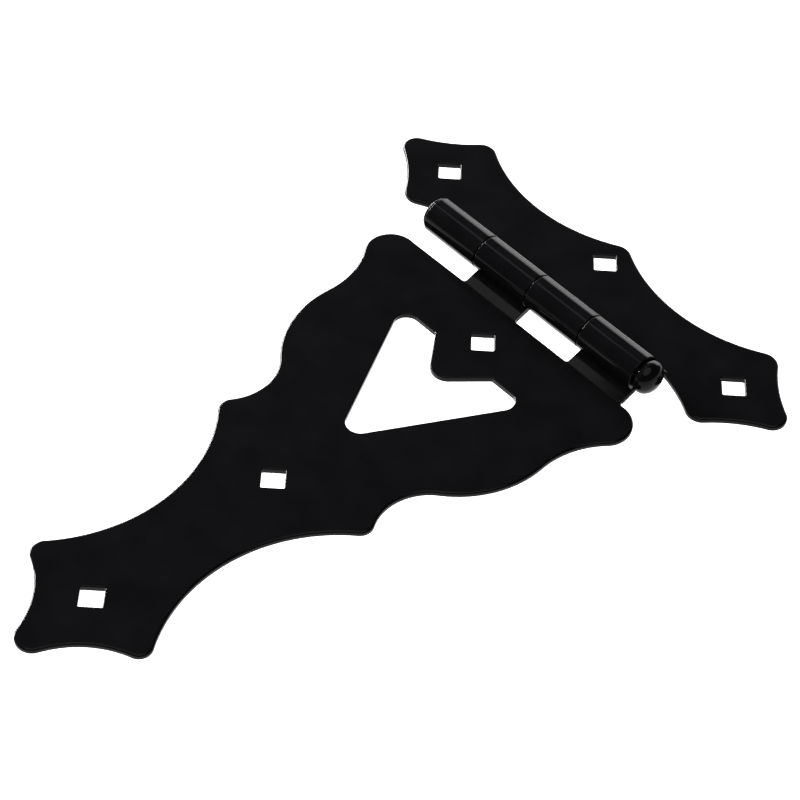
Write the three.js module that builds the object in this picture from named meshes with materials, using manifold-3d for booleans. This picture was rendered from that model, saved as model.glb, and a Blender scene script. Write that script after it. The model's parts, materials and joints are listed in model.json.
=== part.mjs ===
// Tee strap hinge: a long spear-pointed strap leaf and a short cross leaf, both flat plates with
// rolled knuckles, turning on one round-headed pin.
// Millimetres. +X runs along the strap from its tip to the cross leaf, Y along the pin, and Z=0 is
// the mounting face at the back of both leaves. The hinge lies open and flat.
import * as THREE from 'three';
import * as BufferGeometryUtils from 'three/addons/utils/BufferGeometryUtils.js';
import Module from 'manifold-3d';

const wasm = await Module();
wasm.setup();

// ---- Driving dimensions, measured from the pin's axis along X and from the centre line along Y ----

const PLATE = 2.2; // thickness of both leaves
const PIN_Z = 9.4; // pin axis above the mounting face
const BARREL_R = 6.05; // outside of the rolled knuckles
const PIN_R = 3.5;
const PITCH = 22.8; // one knuckle and one gap, along the pin
const KNUCKLE_GAP = 0.4;
const KNUCKLES = 4;
const CURL = THREE.MathUtils.degToRad(304); // how far the plate is rolled round the pin
const BOLT_SQUARE = 7.0; // side of the square holes for carriage bolts, set on their corners

const STRAP_TIP = 201.1; // pin axis to the strap's point
const STRAP_EDGE = 8.9; // pin axis to the strap's straight edge, where its tabs bend up
const CROSS_REACH = 42.0; // pin axis to the outer corners of the cross leaf
const CROSS_POINT = 41.6; // pin axis to the cross leaf's middle point
const CROSS_EDGE = 11.5; // pin axis to the cross leaf's straight edge

// Round corners as [x, y, radius], from the strap's tip along one side to the lobe at its edge,
// and the radius of the hollow between each corner and the next.
const TIP_R = 5.3;
const LOBE_R = 8.7;
const STRAP_CORNERS = [
  [TIP_R - STRAP_TIP, 0, TIP_R],
  [-175.5, 21.4, 4.3], // side of the spear head
  [-99.8, 28.3, 4.6], // small shoulder
  [-47.7, 12.4, 35.8], // full cheek beside the window
  [-STRAP_EDGE - LOBE_R, 47.5, LOBE_R],
];
const STRAP_HOLLOWS = [31.7, 53.2, 17.3, 29.7];
const STRAP_HOLES = [-175.4, -108.4, -22.9];

// Window in the strap as [x, y, corner radius] on and above the centre line: a triangle whose base
// is pushed in by a blunt tongue that carries the third bolt hole.
const WINDOW = [
  [-83.5, 0, 4.5],
  [-31.2, 28.0, 4.2],
  [-31.2, 12.7, 1.7],
  [-46.4, 0, 5.5],
];

// Cross leaf: a spear head at each end, the same on both sides of its own axis.
const SPEAR_X = 23.0;
const SPEAR_TIP = 83.7; // centre line to each tip
const SPEAR_TIP_R = 4.9;
const SPEAR_Y = 62.6;
const SPEAR_CORNER_R = 5.2;
const SPEAR_HALF = CROSS_REACH - SPEAR_CORNER_R - SPEAR_X;
const SPEAR_HOLLOW = 49.7;
const POINT_R = 5.6;
const BACK_HOLLOW = 56.3; // between the middle point and a spear head
const CROSS_HOLES = [[31.6, 0], [SPEAR_X, 63.3], [SPEAR_X, -63.3]];

// Pin: a full round head at one end and a lower riveted end at the other. Each is a flattened ball,
// as [radius, length past the knuckles, distance of its widest place past the knuckles].
const HEAD = [5.6, 6.1, 2.0];
const RIVET = [5.3, 2.2, 0.6];

const TAB_OVERLAP = 2; // how far a tab is drawn into its own plate
const PIN_SIDES = 48;
const FACET = 0.03; // largest distance between a round outline and its facets
const BLACK_COAT = { color: 0x161618, roughness: 0.32, metalness: 0.1 };
const BLACK_PIN = { color: 0x0f0f10, roughness: 0.25, metalness: 0.1 };

// ---- Flat outlines ----

function arc(x, y, radius, from, to) {
  const step = 2 * Math.acos(1 - FACET / radius);
  const count = Math.max(2, Math.ceil(Math.abs(to - from) / step));
  return Array.from({ length: count + 1 }, (_, i) => {
    const angle = from + ((to - from) * i) / count;
    return new THREE.Vector2(x + radius * Math.cos(angle), y + radius * Math.sin(angle));
  });
}

// Centre of the hollow of the given radius that touches corners a and b, on the left from a to b.
function hollowCentre([ax, ay, ar], [bx, by, br], radius) {
  const span = Math.hypot(bx - ax, by - ay);
  const reachA = radius + ar;
  const reachB = radius + br;
  const along = (span ** 2 + reachA ** 2 - reachB ** 2) / (2 * span);
  const aside = Math.sqrt(reachA ** 2 - along ** 2);
  const [ux, uy] = [(bx - ax) / span, (by - ay) / span];
  return [ax + ux * along - uy * aside, ay + uy * along + ux * aside];
}

function bearing([x, y], [cx, cy]) {
  return Math.atan2(cy - y, cx - x);
}

// Half of a leaf's outline, clockwise: the corners, joined by hollows that run smoothly into them.
function halfOutline(corners, hollows) {
  const centres = hollows.map((radius, i) => hollowCentre(corners[i], corners[i + 1], radius));
  const points = [];
  corners.forEach((corner, i) => {
    const [x, y, radius] = corner;
    const from = i === 0 ? Math.PI : bearing(corner, centres[i - 1]);
    let to = i === hollows.length ? 0 : bearing(corner, centres[i]);
    if (to > from) to -= 2 * Math.PI;
    if (radius > 0) points.push(...arc(x, y, radius, from, to));
    if (i === hollows.length) return;
    const start = bearing(centres[i], corner);
    let end = bearing(centres[i], corners[i + 1]);
    if (end < start) end += 2 * Math.PI;
    points.push(...arc(...centres[i], hollows[i], start, end).slice(radius > 0 ? 1 : 0, -1));
  });
  return points;
}

// The half outline's mirror image across the centre line and the half itself, as one closed shape.
function mirrored(half) {
  const offLine = half.filter((point) => Math.abs(point.y) > 1e-6);
  return [...half.map((point) => new THREE.Vector2(point.x, -point.y)), ...offLine.reverse()];
}

// A closed polygon with its corners rounded off.
function roundedPolygon(corners) {
  return corners.flatMap(([x, y, radius], i) => {
    const [ax, ay] = corners.at(i - 1);
    const [bx, by] = corners[(i + 1) % corners.length];
    const arrive = Math.atan2(y - ay, x - ax);
    const leave = Math.atan2(by - y, bx - x);
    const turn = THREE.MathUtils.euclideanModulo(leave - arrive + Math.PI, 2 * Math.PI) - Math.PI;
    const toCentre = arrive + (Math.sign(turn) * Math.PI) / 2;
    const cut = radius * Math.tan(Math.abs(turn) / 2);
    const cx = x - cut * Math.cos(arrive) + radius * Math.cos(toCentre);
    const cy = y - cut * Math.sin(arrive) + radius * Math.sin(toCentre);
    return arc(cx, cy, radius, toCentre + Math.PI, toCentre + Math.PI + turn);
  });
}

function squareHole([x, y]) {
  const reach = BOLT_SQUARE / Math.SQRT2;
  return [[reach, 0], [0, reach], [-reach, 0], [0, -reach]].map(
    ([dx, dy]) => new THREE.Vector2(x + dx, y + dy),
  );
}

// ---- Solids ----

function toSolid(geometry) {
  geometry.deleteAttribute('normal');
  geometry.deleteAttribute('uv');
  const merged = BufferGeometryUtils.mergeVertices(geometry, 1e-4);
  return new wasm.Manifold(new wasm.Mesh({
    numProp: 3,
    vertProperties: merged.attributes.position.array,
    triVerts: merged.index.array,
  }));
}

function toGeometry(solid) {
  const mesh = solid.getMesh();
  const geometry = new THREE.BufferGeometry();
  geometry.setAttribute('position', new THREE.BufferAttribute(mesh.vertProperties, 3));
  geometry.setIndex(new THREE.BufferAttribute(mesh.triVerts, 1));
  geometry.computeVertexNormals();
  return geometry;
}

function extrude(outline, holes, depth) {
  const shape = new THREE.Shape(outline);
  shape.holes = holes.map((points) => new THREE.Path(points));
  return new THREE.ExtrudeGeometry(shape, { depth, bevelEnabled: false });
}

// Upward slope of a tab that leaves the plate at its straight edge and runs into the rolled barrel.
function tabSlope(edge) {
  return Math.acos(BARREL_R / Math.hypot(PIN_Z, edge)) - Math.atan2(edge, PIN_Z);
}

// One rolled knuckle with its tab. The tab ramps up under the pin, then curls up and round it towards
// the side it came from, which is -1 for a plate on the -X side of the pin and 1 for the +X side.
function knuckle(side, edge, index) {
  const slope = tabSlope(edge);
  const start = slope - Math.PI / 2;
  const section = [
    new THREE.Vector2(-edge - TAB_OVERLAP, 0),
    new THREE.Vector2(-edge, 0),
    ...arc(0, PIN_Z, BARREL_R, start, start + CURL),
    ...arc(0, PIN_Z, BARREL_R - PLATE, start + CURL, start),
    new THREE.Vector2(-edge - PLATE * Math.tan(slope / 2), PLATE),
    new THREE.Vector2(-edge - TAB_OVERLAP, PLATE),
  ].map((point) => new THREE.Vector2(-side * point.x, point.y));
  const length = PITCH - KNUCKLE_GAP;
  const centre = PITCH * ((KNUCKLES - 1) / 2 - index);
  return extrude(section, [], length).rotateX(Math.PI / 2).translate(0, centre + length / 2, 0);
}

function leaf(side, edge, outline, holes, firstKnuckle) {
  let solid = toSolid(extrude(outline, holes, PLATE));
  for (let index = firstKnuckle; index < KNUCKLES; index += 2) {
    solid = solid.add(toSolid(knuckle(side, edge, index)));
  }
  return toGeometry(solid);
}

function strapLeaf() {
  const outline = mirrored(halfOutline(STRAP_CORNERS, STRAP_HOLLOWS));
  const windowSide = WINDOW.slice(1, -1).map(([x, y, radius]) => [x, -y, radius]);
  const window = roundedPolygon([...WINDOW, ...windowSide.reverse()]);
  const bolts = STRAP_HOLES.map((x) => squareHole([x, 0]));
  return leaf(-1, STRAP_EDGE, outline, [window, ...bolts], 1);
}

function crossLeaf() {
  const across = SPEAR_X - SPEAR_HALF - CROSS_EDGE + SPEAR_HOLLOW;
  const bendY = SPEAR_Y - Math.sqrt((SPEAR_HOLLOW + SPEAR_CORNER_R) ** 2 - across ** 2);
  const corners = [
    [CROSS_EDGE, bendY, 0], // where the straight edge starts to sweep out to the spear head
    [SPEAR_X - SPEAR_HALF, SPEAR_Y, SPEAR_CORNER_R],
    [SPEAR_X, SPEAR_TIP - SPEAR_TIP_R, SPEAR_TIP_R],
    [SPEAR_X + SPEAR_HALF, SPEAR_Y, SPEAR_CORNER_R],
    [CROSS_POINT - POINT_R, 0, POINT_R],
  ];
  const hollows = [SPEAR_HOLLOW, SPEAR_HOLLOW, SPEAR_HOLLOW, BACK_HOLLOW];
  const outline = mirrored(halfOutline(corners, hollows));
  return leaf(1, CROSS_EDGE, outline, CROSS_HOLES.map(squareHole), 0);
}

// A formed end of the pin, from its flat base at baseY to its middle.
function formedEnd([radius, length, widest], baseY) {
  const half = length - widest;
  const round = arc(0, 0, radius, -Math.asin(widest / half), Math.PI / 2);
  return round.map((p) => new THREE.Vector2(p.x, baseY + widest + (p.y * half) / radius));
}

function pin() {
  const halfBarrel = (KNUCKLES * PITCH) / 2;
  const head = formedEnd(HEAD, halfBarrel).map((p) => new THREE.Vector2(p.x, -p.y));
  const profile = [
    ...head.reverse(),
    new THREE.Vector2(PIN_R, -halfBarrel),
    new THREE.Vector2(PIN_R, halfBarrel),
    ...formedEnd(RIVET, halfBarrel),
  ];
  profile[0].x = 0;
  profile.at(-1).x = 0;
  return toGeometry(toSolid(new THREE.LatheGeometry(profile, PIN_SIDES).translate(0, 0, PIN_Z)));
}

// ---- Assembly ----

function piece(name, geometry, finish) {
  const mesh = new THREE.Mesh(geometry, new THREE.MeshStandardMaterial(finish));
  mesh.name = name;
  return mesh;
}

// The origin is the middle of the open hinge's outline, on the mounting face.
const hinge = new THREE.Group();
hinge.add(
  piece('strap_leaf', strapLeaf(), BLACK_COAT),
  piece('cross_leaf', crossLeaf(), BLACK_COAT),
  piece('hinge_pin', pin(), BLACK_PIN),
);
hinge.position.x = (STRAP_TIP - CROSS_REACH) / 2;

export default hinge;
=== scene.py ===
"""Looks of a black tee strap hinge: two rolled sheet leaves and a headed pin in glossy powder coat."""

import json
import math

import bmesh
import bpy
from mathutils import Matrix, Vector
from mathutils.geometry import tessellate_polygon


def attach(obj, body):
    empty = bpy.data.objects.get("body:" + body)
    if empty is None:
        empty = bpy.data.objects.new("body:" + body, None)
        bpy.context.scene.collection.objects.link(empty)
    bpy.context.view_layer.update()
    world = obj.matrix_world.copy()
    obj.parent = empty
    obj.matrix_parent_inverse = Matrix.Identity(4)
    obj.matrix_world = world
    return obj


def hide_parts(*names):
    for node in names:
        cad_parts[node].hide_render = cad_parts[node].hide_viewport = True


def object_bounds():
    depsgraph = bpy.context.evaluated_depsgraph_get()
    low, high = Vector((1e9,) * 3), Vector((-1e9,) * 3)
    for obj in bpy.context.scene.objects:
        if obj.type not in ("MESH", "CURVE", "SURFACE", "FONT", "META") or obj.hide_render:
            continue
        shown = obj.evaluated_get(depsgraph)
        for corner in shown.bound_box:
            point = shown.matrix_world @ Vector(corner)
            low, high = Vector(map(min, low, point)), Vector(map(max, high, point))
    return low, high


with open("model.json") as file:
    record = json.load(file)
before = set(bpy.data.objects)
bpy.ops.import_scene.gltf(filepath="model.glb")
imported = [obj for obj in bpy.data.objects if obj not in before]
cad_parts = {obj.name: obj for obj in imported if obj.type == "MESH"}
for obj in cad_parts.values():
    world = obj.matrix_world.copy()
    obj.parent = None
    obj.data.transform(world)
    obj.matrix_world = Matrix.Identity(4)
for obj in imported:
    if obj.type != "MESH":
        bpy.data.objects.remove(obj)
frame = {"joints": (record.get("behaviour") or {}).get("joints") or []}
cad_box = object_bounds()

# ---- Driving dimensions in millimetres, from the pin's axis along X and the centre line along Y ----

MM = 0.001
PIVOT = [value / MM for value in frame["joints"][0]["pos_m"]]
PLATE = 2.2
PIN_Z = PIVOT[2]
BARREL_R = 6.05
PIN_R = 3.5
PITCH = 22.8
KNUCKLE_GAP = 0.4
KNUCKLES = 4
CURL = math.radians(304)
BOLT_SQUARE = 7.0

STRAP_TIP = 201.1
STRAP_EDGE = 8.9
CROSS_REACH = 42.0
CROSS_POINT = 41.6
CROSS_EDGE = 11.5

TIP_R = 5.3
LOBE_R = 8.7
STRAP_CORNERS = [
    (TIP_R - STRAP_TIP, 0, TIP_R),
    (-175.5, 21.4, 4.3),
    (-99.8, 28.3, 4.6),
    (-47.7, 12.4, 35.8),
    (-STRAP_EDGE - LOBE_R, 47.5, LOBE_R),
]
STRAP_HOLLOWS = [31.7, 53.2, 17.3, 29.7]
STRAP_HOLES = [(-175.4, 0), (-108.4, 0), (-22.9, 0)]
WINDOW = [(-83.5, 0, 4.5), (-31.2, 28.0, 4.2), (-31.2, 12.7, 1.0), (-46.4, 0, 5.5)]

SPEAR_X = 23.0
SPEAR_TIP = 83.7
SPEAR_TIP_R = 4.9
SPEAR_Y = 62.6
SPEAR_CORNER_R = 5.2
SPEAR_HALF = CROSS_REACH - SPEAR_CORNER_R - SPEAR_X
SPEAR_HOLLOW = 49.7
POINT_R = 5.6
BACK_HOLLOW = 56.3
CROSS_HOLES = [(31.6, 0), (SPEAR_X, 63.3), (SPEAR_X, -63.3)]

# Formed ends of the pin: radius, length past the knuckles, widest place past the knuckles.
HEAD = (5.6, 6.1, 2.0)
RIVET = (5.3, 2.2, 0.6)

PLATE_ROUND = 0.75  # rounding of the leaves' edges under the coat
HOLE_ROUND = 0.45  # rounding round the bolt holes and the window
TAB_ROUND = 0.25  # rounding of the knuckles' ends, which keep close to each other
ROUND_BLEND = 1.5  # along a leaf, up to its straight edge, where one rounding turns into the other
EDGE_STEPS = 5
HOLE_CORNER_R = 0.4
TAB_FILLET = 1.2
TAB_END_R = 0.7
BEND_R = 4.0  # middle of the plate, where a tab bends up from its leaf
BEND_STEPS = 4
BEND_FADE = 3.0  # beyond the barrel's end, where the cross leaf's edge settles back to flat
BEND_FADE_STEPS = 6
ROLL_STEP = 0.45  # spacing of the cross lines that let a tab roll smoothly
FACET = 0.004  # largest distance between a round outline and its facets
HAIR = 0.01  # slack when a place is compared with an edge
PIN_SIDES = 96

# ---- Coat and floor: depths and places in metres, scales per metre ----

CLOUD_SCALE = 90
PEEL_SCALE = 420
PEEL_DEPTH = 0.000004
GRAIN_SCALE = 3200
GRAIN_DEPTH = 0.0000012
COAT_IOR = 1.5
COAT_SPECULAR = 0.09  # lower than a real powder coat, so that the plate stays near black
NOISE_LOW = 0.3  # noise below this counts as none, and above NOISE_HIGH as full
NOISE_HIGH = 0.7
FLOOR_DROP = 0.25  # below the hinge, which leaves the strap room to swing down
FLOOR_HALF = 15
FLOOR_GLOW = 1.02
PAPER_DARK = (0.42, 0.42, 0.42)
PAPER_LIGHT = (0.44, 0.44, 0.44)
STUDIO_COLOUR = (0.05, 0.05, 0.055, 1)


# ---- Flat outlines ----


def arc(x, y, radius, start, end):
    if radius <= 0:
        return [(x, y)]
    step = 2 * math.acos(1 - FACET / radius)
    count = max(3, math.ceil(abs(end - start) / step))
    angles = [start + (end - start) * i / count for i in range(count + 1)]
    return [(x + radius * math.cos(a), y + radius * math.sin(a)) for a in angles]


def hollow_centre(a, b, radius):
    """Centre of the hollow that touches corners a and b, on the left of the way from a to b."""
    (ax, ay, ar), (bx, by, br) = a, b
    span = math.hypot(bx - ax, by - ay)
    reach_a, reach_b = radius + ar, radius + br
    along = (span**2 + reach_a**2 - reach_b**2) / (2 * span)
    aside = math.sqrt(reach_a**2 - along**2)
    ux, uy = (bx - ax) / span, (by - ay) / span
    return ax + ux * along - uy * aside, ay + uy * along + ux * aside


def bearing(a, b):
    return math.atan2(b[1] - a[1], b[0] - a[0])


def half_outline(corners, hollows):
    """Half of a leaf's outline, clockwise: the corners, joined by hollows that run smoothly into them."""
    centres = [hollow_centre(corners[i], corners[i + 1], r) for i, r in enumerate(hollows)]
    points = []
    for i, (x, y, radius) in enumerate(corners):
        last = i == len(hollows)
        start = math.pi if i == 0 else bearing((x, y), centres[i - 1])
        end = 0 if last else bearing((x, y), centres[i])
        if end > start:
            end -= 2 * math.pi
        points += arc(x, y, radius, start, end)
        if last:
            return points
        start = bearing(centres[i], (x, y))
        end = bearing(centres[i], corners[i + 1])
        if end < start:
            end += 2 * math.pi
        points += arc(*centres[i], hollows[i], start, end)[1:-1]


def mirror(points):
    return [(x, -y) for x, y in points]


def rounded(corners):
    """A closed polygon with its corners (x, y, radius) rounded off. Corners of radius 0 stay."""
    points = []
    for i, (x, y, radius) in enumerate(corners):
        if radius <= 0:
            points.append((x, y))
            continue
        arrive = bearing(corners[i - 1], (x, y))
        leave = bearing((x, y), corners[(i + 1) % len(corners)])
        turn = (leave - arrive + math.pi) % (2 * math.pi) - math.pi
        to_centre = arrive + math.copysign(math.pi / 2, turn)
        cut = radius * math.tan(abs(turn) / 2)
        cx = x - cut * math.cos(arrive) + radius * math.cos(to_centre)
        cy = y - cut * math.sin(arrive) + radius * math.sin(to_centre)
        points += arc(cx, cy, radius, to_centre + math.pi, to_centre + math.pi + turn)
    return points


def square_hole(x, y):
    reach = BOLT_SQUARE / math.sqrt(2)
    sides = [(reach, 0), (0, reach), (-reach, 0), (0, -reach)]
    return rounded([(x + dx, y + dy, HOLE_CORNER_R) for dx, dy in sides])


def knuckle_span(index):
    """Lowest and highest Y of a knuckle, counted from the pin's riveted end."""
    centre = PITCH * ((KNUCKLES - 1) / 2 - index)
    half = (PITCH - KNUCKLE_GAP) / 2
    return centre - half, centre + half


class Roll:
    """How a tab that leaves its plate at the straight edge bends up, ramps and rolls round the pin."""

    def __init__(self, edge):
        reach = math.hypot(PIN_Z, edge)
        self.slope = math.acos(BARREL_R / reach) - math.atan2(edge, PIN_Z)
        self.middle = BARREL_R - PLATE / 2
        corner = -edge - PLATE / 2 * math.tan(self.slope / 2)
        tangent_x = self.middle * math.sin(self.slope)
        tangent_z = PIN_Z - self.middle * math.cos(self.slope)
        cut = BEND_R * math.tan(self.slope / 2)
        self.bend_from = corner - cut
        self.ramp_from = self.bend_from + BEND_R * self.slope
        ramp = math.hypot(tangent_x - corner, tangent_z - PLATE / 2) - cut
        self.curl_from = self.ramp_from + ramp
        self.end = self.curl_from + CURL * self.middle

    def place(self, x, z):
        """Where a point of the blank, x along it and z through it, ends up in the XZ plane."""
        if x <= self.bend_from:
            return x, z
        if x <= self.curl_from:
            angle = min(x, self.ramp_from) - self.bend_from
            angle /= BEND_R
            along = max(0, x - self.ramp_from)
            radius = BEND_R + PLATE / 2 - z
            turned_x = self.bend_from + radius * math.sin(angle) + along * math.cos(angle)
            turned_z = PLATE / 2 + BEND_R - radius * math.cos(angle) + along * math.sin(angle)
            return turned_x, turned_z
        angle = self.slope - math.pi / 2 + (x - self.curl_from) / self.middle
        radius = BARREL_R - z
        return radius * math.cos(angle), PIN_Z + radius * math.sin(angle)

    def lines(self):
        """Places along the blank that need a cross line for the shape to come out smooth."""
        bend_length = BEND_R * self.slope
        bend = [self.bend_from + bend_length * i / BEND_STEPS for i in range(BEND_STEPS + 1)]
        count = math.ceil((self.end - self.curl_from) / ROLL_STEP)
        return bend + [self.curl_from + ROLL_STEP * i for i in range(count)]


def tab(edge, index):
    """Corners of one tab before it is rolled, going down from the leaf's straight edge and back."""
    low, high = knuckle_span(index)
    end = Roll(edge).end
    return [
        (-edge, high, TAB_FILLET),
        (end, high, TAB_END_R),
        (end, low, TAB_END_R),
        (-edge, low, TAB_FILLET),
    ]


def strap_outline():
    """The strap's blank, clockwise from its tip, with the tabs for knuckles 2 and 4 unrolled."""
    half = half_outline(STRAP_CORNERS, STRAP_HOLLOWS)
    corners = [(x, y, 0) for x, y in half]
    corners += tab(STRAP_EDGE, 1) + tab(STRAP_EDGE, 3)
    corners += [(x, y, 0) for x, y in reversed(mirror(half)[1:])]
    return rounded(corners)


def cross_outline():
    """The cross leaf's blank, clockwise and turned half round so that its tabs reach to +X."""
    across = SPEAR_X - SPEAR_HALF - CROSS_EDGE + SPEAR_HOLLOW
    bend_y = SPEAR_Y - math.sqrt((SPEAR_HOLLOW + SPEAR_CORNER_R) ** 2 - across**2)
    tab_top = knuckle_span(0)[1]
    flare_x = CROSS_EDGE - SPEAR_HOLLOW + math.sqrt(SPEAR_HOLLOW**2 - (tab_top - bend_y) ** 2)
    spear = [
        (SPEAR_X - SPEAR_HALF, SPEAR_Y, SPEAR_CORNER_R),
        (SPEAR_X, SPEAR_TIP - SPEAR_TIP_R, SPEAR_TIP_R),
        (SPEAR_X + SPEAR_HALF, SPEAR_Y, SPEAR_CORNER_R),
        (CROSS_POINT - POINT_R, 0, POINT_R),
    ]
    hollows = [SPEAR_HOLLOW, SPEAR_HOLLOW, SPEAR_HOLLOW, BACK_HOLLOW]
    upper = half_outline([(flare_x, tab_top, 0), *spear], hollows)
    lower = mirror(half_outline([(CROSS_EDGE, bend_y, 0), *spear], hollows))[:-1]
    around = upper + lower[::-1]
    corners = [(-x, y, 0) for x, y in reversed(around)]
    corners += tab(CROSS_EDGE, 0)[1:] + tab(CROSS_EDGE, 2)
    return rounded(corners)


# ---- Meshes ----


def signed_area(loop):
    return sum(x0 * y1 - x1 * y0 for (x0, y0), (x1, y1) in zip(loop, loop[1:] + loop[:1])) / 2


def inset_directions(loop):
    """For each point, the way into the material on its left that keeps an even inset."""
    directions = []
    for i, (x, y) in enumerate(loop):
        before, after = Vector(loop[i - 1]), Vector(loop[(i + 1) % len(loop)])
        arrive = (Vector((x, y)) - before).normalized()
        leave = (after - Vector((x, y))).normalized()
        left_a, left_b = Vector((-arrive.y, arrive.x)), Vector((-leave.y, leave.x))
        directions.append((left_a + left_b) / (1 + left_a.dot(left_b)))
    return directions


def edge_round(x, y, edge):
    """Rounding of the outline at a place on the blank: tight on the tabs, fuller on the leaf."""
    if abs(y) > knuckle_span(0)[1] + HAIR:
        return PLATE_ROUND
    share = min(1, max(0, (x + edge + ROUND_BLEND) / ROUND_BLEND))
    return PLATE_ROUND + (TAB_ROUND - PLATE_ROUND) * share


def edge_levels(rounding):
    """Inset and height of each ring round a sheet's edge, from its front face over to its back."""
    angles = [math.pi / 2 * i / EDGE_STEPS for i in range(EDGE_STEPS + 1)]
    front = [(rounding * (1 - math.sin(a)), PLATE - rounding * (1 - math.cos(a))) for a in angles]
    return front + [(inset, PLATE - z) for inset, z in reversed(front)]


def flat_sheet(outline, holes, edge):
    """The blank of one leaf as a bmesh: two faces and rounded edges, with the holes through it."""
    loops = [outline if signed_area(outline) > 0 else outline[::-1]]
    loops += [hole if signed_area(hole) < 0 else hole[::-1] for hole in holes]
    bm = bmesh.new()
    front, back = [], []
    for loop in loops:
        directions = inset_directions(loop)
        roundings = [edge_round(x, y, edge) if loop is loops[0] else HOLE_ROUND for x, y in loop]
        levels = [edge_levels(rounding) for rounding in roundings]
        rings = []
        for k in range(len(levels[0])):
            ring = []
            for (x, y), toward, level in zip(loop, directions, levels):
                inset, z = level[k]
                ring.append(bm.verts.new((x + toward.x * inset, y + toward.y * inset, z)))
            rings.append(ring)
        for upper, lower in zip(rings, rings[1:]):
            for i in range(len(loop)):
                bm.faces.new((upper[i - 1], lower[i - 1], lower[i], upper[i]))
        front.append(rings[0])
        back.append(rings[-1])
    for rings, flipped in ((front, False), (back, True)):
        corners = [vertex for ring in rings for vertex in ring]
        for face in tessellate_polygon([[vertex.co for vertex in ring] for ring in rings]):
            triangle = [corners[i] for i in face]
            upward = (triangle[1].co - triangle[0].co).cross(triangle[2].co - triangle[0].co).z > 0
            bm.faces.new(triangle if upward != flipped else triangle[::-1])
    return bm


def cut_along(bm, place, normal):
    everything = bm.verts[:] + bm.edges[:] + bm.faces[:]
    bmesh.ops.bisect_plane(bm, geom=everything, plane_co=place, plane_no=normal)


def roll_tabs(bm, edge):
    """Bends the tabs up and rolls them round the pin; past the barrel's ends the plate stays flat."""
    roll = Roll(edge)
    barrel_end = knuckle_span(0)[1]
    for x in roll.lines():
        cut_along(bm, (x, 0, 0), (1, 0, 0))
    for i in range(BEND_FADE_STEPS + 1):
        for side in (-1, 1):
            cut_y = side * (barrel_end + BEND_FADE * i / BEND_FADE_STEPS)
            cut_along(bm, (0, cut_y, 0), (0, 1, 0))
    for vertex in bm.verts:
        x, y, z = vertex.co
        past = min(1, max(0, (abs(y) - barrel_end) / BEND_FADE))
        share = 1 - past * past * (3 - 2 * past)
        if share > 0:
            rolled_x, rolled_z = roll.place(x, z)
            vertex.co = (x + (rolled_x - x) * share, y, z + (rolled_z - z) * share)


def finish_piece(bm, name, side, body, node, material):
    """Puts a piece in the shared frame, in metres, ties it to its body and hides the node it replaces."""
    for vertex in bm.verts:
        x, y, z = vertex.co
        vertex.co = ((PIVOT[0] - side * x) * MM, (PIVOT[1] + y) * MM, z * MM)
    if side > 0:
        bmesh.ops.reverse_faces(bm, faces=bm.faces)
    for face in bm.faces:
        face.smooth = True
    mesh = bpy.data.meshes.new(name)
    bm.to_mesh(mesh)
    bm.free()
    piece = bpy.data.objects.new(name, mesh)
    bpy.context.scene.collection.objects.link(piece)
    mesh.materials.append(material)
    weighted = piece.modifiers.new("flat faces stay flat", "WEIGHTED_NORMAL")
    weighted.keep_sharp = False
    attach(piece, body)
    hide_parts(node)


def formed_end(radius, length, widest, base_y):
    """Profile of a formed end of the pin, as a flattened ball from its neck to its pole."""
    half = length - widest
    points = arc(0, 0, radius, -math.asin(widest / half), math.pi / 2)
    profile = [(x, base_y + widest + y * half / radius) for x, y in points]
    return profile[:-1] + [(0, base_y + length)]


def pin_mesh():
    """The pin as a lathe shape round the pivot: its head at -Y and its riveted end at +Y."""
    half = KNUCKLES * PITCH / 2
    head = [(x, -y) for x, y in formed_end(*HEAD, half)]
    profile = head[::-1] + [(PIN_R, -half), (PIN_R, half)] + formed_end(*RIVET, half)
    bm = bmesh.new()
    rings = []
    for radius, y in profile:
        turns = [2 * math.pi * i / PIN_SIDES for i in range(PIN_SIDES)] if radius > 0 else [0]
        places = [(radius * math.sin(a), y, PIN_Z + radius * math.cos(a)) for a in turns]
        rings.append([bm.verts.new(place) for place in places])
    for low, high in zip(rings, rings[1:]):
        for i in range(PIN_SIDES):
            below = [low[i - 1], low[i]] if len(low) > 1 else low
            above = [high[i], high[i - 1]] if len(high) > 1 else high
            bm.faces.new(below + above)
    bmesh.ops.recalc_face_normals(bm, faces=bm.faces)
    return bm


# ---- Materials ----


def new_material(name):
    material = bpy.data.materials.new(name)
    material.use_nodes = True
    nodes, links = material.node_tree.nodes, material.node_tree.links
    shader = nodes["Principled BSDF"]
    place = nodes.new("ShaderNodeTexCoord").outputs["Object"]
    return material, nodes, links, shader, place


def noise(nodes, links, place, scale, detail):
    texture = nodes.new("ShaderNodeTexNoise")
    texture.inputs["Scale"].default_value = scale
    texture.inputs["Detail"].default_value = detail
    links.new(place, texture.inputs["Vector"])
    return texture.outputs["Fac"]


def ramp(nodes, links, factor, low, high):
    """Maps a noise factor to a value between low and high."""
    node = nodes.new("ShaderNodeMapRange")
    node.inputs["From Min"].default_value = NOISE_LOW
    node.inputs["From Max"].default_value = NOISE_HIGH
    node.inputs["To Min"].default_value = low
    node.inputs["To Max"].default_value = high
    links.new(factor, node.inputs["Value"])
    return node.outputs["Result"]


def blend_colour(nodes, links, factor, first, second):
    node = nodes.new("ShaderNodeMix")
    node.data_type = "RGBA"
    node.inputs["A"].default_value = (*first, 1)
    node.inputs["B"].default_value = (*second, 1)
    links.new(factor, node.inputs["Factor"])
    return node.outputs["Result"]


def bump(nodes, links, height, depth, under=None):
    node = nodes.new("ShaderNodeBump")
    node.inputs["Distance"].default_value = depth
    links.new(height, node.inputs["Height"])
    if under is not None:
        links.new(under, node.inputs["Normal"])
    return node.outputs["Normal"]


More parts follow.
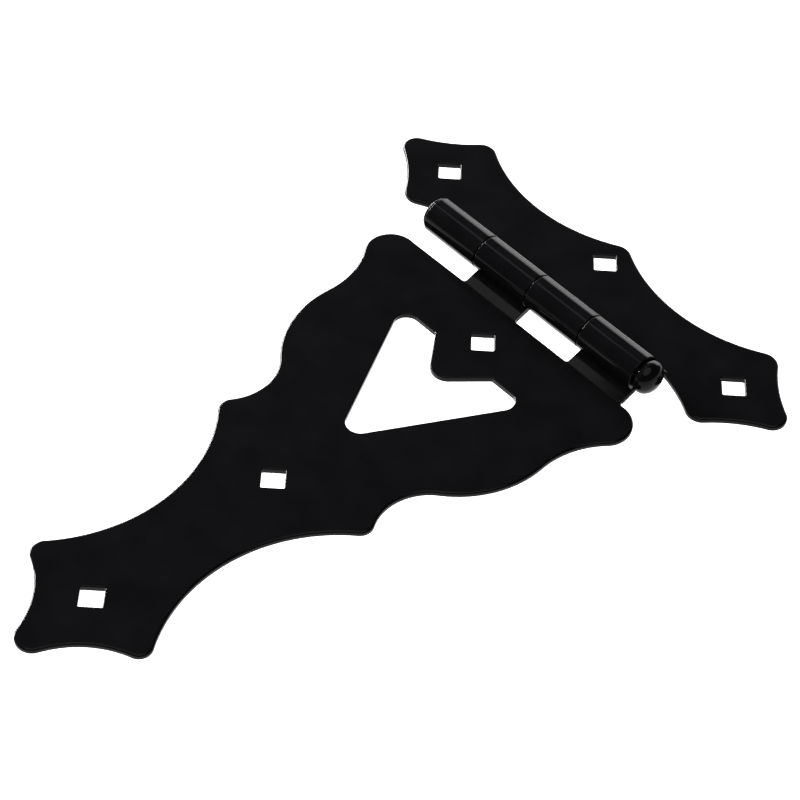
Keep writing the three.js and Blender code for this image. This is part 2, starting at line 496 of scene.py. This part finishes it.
def black_coat(name, dark, light, smooth, rough):
    """Glossy black powder coat: slow orange peel, fine grain, and a gloss that varies a little."""
    material, nodes, links, shader, place = new_material(name)
    cloud = noise(nodes, links, place, CLOUD_SCALE, 3)
    peel = noise(nodes, links, place, PEEL_SCALE, 1)
    grain = noise(nodes, links, place, GRAIN_SCALE, 2)
    colour = blend_colour(nodes, links, ramp(nodes, links, cloud, 0, 1), dark, light)
    links.new(colour, shader.inputs["Base Color"])
    links.new(ramp(nodes, links, cloud, smooth, rough), shader.inputs["Roughness"])
    normal = bump(nodes, links, peel, PEEL_DEPTH)
    links.new(bump(nodes, links, grain, GRAIN_DEPTH, normal), shader.inputs["Normal"])
    shader.inputs["IOR"].default_value = COAT_IOR
    shader.inputs["Specular IOR Level"].default_value = COAT_SPECULAR
    return material


def floor_paper():
    """Pale paper that glows a little, so that it stays even and keeps no shadow."""
    material, nodes, links, shader, place = new_material("floor_paper")
    mottle = ramp(nodes, links, noise(nodes, links, place, 3, 2), 0, 1)
    colour = blend_colour(nodes, links, mottle, PAPER_DARK, PAPER_LIGHT)
    links.new(colour, shader.inputs["Base Color"])
    shader.inputs["Roughness"].default_value = 0.9
    shader.inputs["Specular IOR Level"].default_value = 0.1
    shader.inputs["Emission Color"].default_value = (1, 1, 1, 1)
    shader.inputs["Emission Strength"].default_value = FLOOR_GLOW
    return material


# ---- Pieces ----

sheet_coat = black_coat("black_sheet_coat", (0.0023, 0.0023, 0.0026), (0.0032, 0.0032, 0.0036), 0.05, 0.09)
pin_coat = black_coat("black_pin_coat", (0.0028, 0.0028, 0.0029), (0.0040, 0.0040, 0.0041), 0.04, 0.07)

window_mirror = [(x, -y, r) for x, y, r in WINDOW[-2:0:-1]]
strap_window = rounded(WINDOW + window_mirror)
strap_openings = [strap_window] + [square_hole(*spot) for spot in STRAP_HOLES]
strap = flat_sheet(strap_outline(), strap_openings, STRAP_EDGE)
roll_tabs(strap, STRAP_EDGE)
finish_piece(strap, "strap_sheet", -1, "strap", "strap_leaf", sheet_coat)

cross = flat_sheet(cross_outline(), [square_hole(-x, y) for x, y in CROSS_HOLES], CROSS_EDGE)
roll_tabs(cross, CROSS_EDGE)
finish_piece(cross, "cross_sheet", 1, "cross", "cross_leaf", sheet_coat)

finish_piece(pin_mesh(), "headed_pin", -1, "cross", "hinge_pin", pin_coat)


# ---- Stage, light and camera ----


def direction(azimuth, elevation):
    """Unit vector towards a place in the sky; azimuth is counted from +X towards +Y."""
    a, e = math.radians(azimuth), math.radians(elevation)
    return Vector((math.cos(a) * math.cos(e), math.sin(a) * math.cos(e), math.sin(e)))


def aim(obj, place, target):
    obj.location = place
    obj.rotation_euler = (Vector(target) - Vector(place)).to_track_quat("-Z", "Y").to_euler()


def add_floor():
    """A wide flat floor, some way below the hinge."""
    mesh = bpy.data.meshes.new("floor")
    z = cad_box[0].z - FLOOR_DROP
    sides = [(-1, -1), (1, -1), (1, 1), (-1, 1)]
    corners = [(x * FLOOR_HALF, y * FLOOR_HALF, z) for x, y in sides]
    mesh.from_pydata(corners, [], [(0, 1, 2, 3)])
    floor = bpy.data.objects.new("floor", mesh)
    bpy.context.scene.collection.objects.link(floor)
    mesh.materials.append(floor_paper())


def add_sun(name, azimuth, elevation, strength, spread):
    """A large soft lamp far away, so that its light is the same all over the floor."""
    light = bpy.data.lights.new(name, "SUN")
    light.energy = strength
    light.angle = math.radians(spread)
    lamp = bpy.data.objects.new(name, light)
    bpy.context.scene.collection.objects.link(lamp)
    aim(lamp, direction(azimuth, elevation), (0, 0, 0))


def add_panel(name, azimuth, elevation, distance, width, height, radiance):
    """A softbox of even brightness, facing the hinge."""
    light = bpy.data.lights.new(name, "AREA")
    light.shape = "RECTANGLE"
    light.size = width
    light.size_y = height
    light.energy = radiance * math.pi * width * height
    lamp = bpy.data.objects.new(name, light)
    bpy.context.scene.collection.objects.link(lamp)
    aim(lamp, direction(azimuth, elevation) * distance, (0, 0, 0))


def add_camera(target, azimuth, elevation, distance, roll, lens):
    data = bpy.data.cameras.new("camera")
    data.sensor_width = 36
    data.lens = lens
    data.clip_start = 0.01
    camera = bpy.data.objects.new("camera", data)
    bpy.context.scene.collection.objects.link(camera)
    back = direction(azimuth, elevation)
    turn = back.to_track_quat("Z", "Y").to_matrix() @ Matrix.Rotation(math.radians(roll), 3, "Z")
    camera.matrix_world = Matrix.Translation(Vector(target) + back * distance) @ turn.to_4x4()
    bpy.context.scene.camera = camera


add_floor()
add_sun("overhead", azimuth=225, elevation=72, strength=1.4, spread=60)
add_panel(
    "far_softbox", azimuth=30, elevation=14, distance=1.6, width=2.2, height=0.75, radiance=4.6
)
add_panel(
    "high_softbox", azimuth=78, elevation=62, distance=1.5, width=0.24, height=0.24, radiance=1.6
)
add_panel(
    "side_strip", azimuth=88, elevation=19, distance=1.4, width=1.1, height=0.15, radiance=190.0
)

world = bpy.data.worlds.new("studio")
world.use_nodes = True
world.node_tree.nodes["Background"].inputs["Color"].default_value = STUDIO_COLOUR
bpy.context.scene.world = world
bpy.context.scene.view_settings.view_transform = "Standard"

add_camera(
    target=(0.02198, 0.0001, 0),
    azimuth=-135.67,
    elevation=47.6,
    distance=0.7508,
    roll=4.0,
    lens=111.43,
)
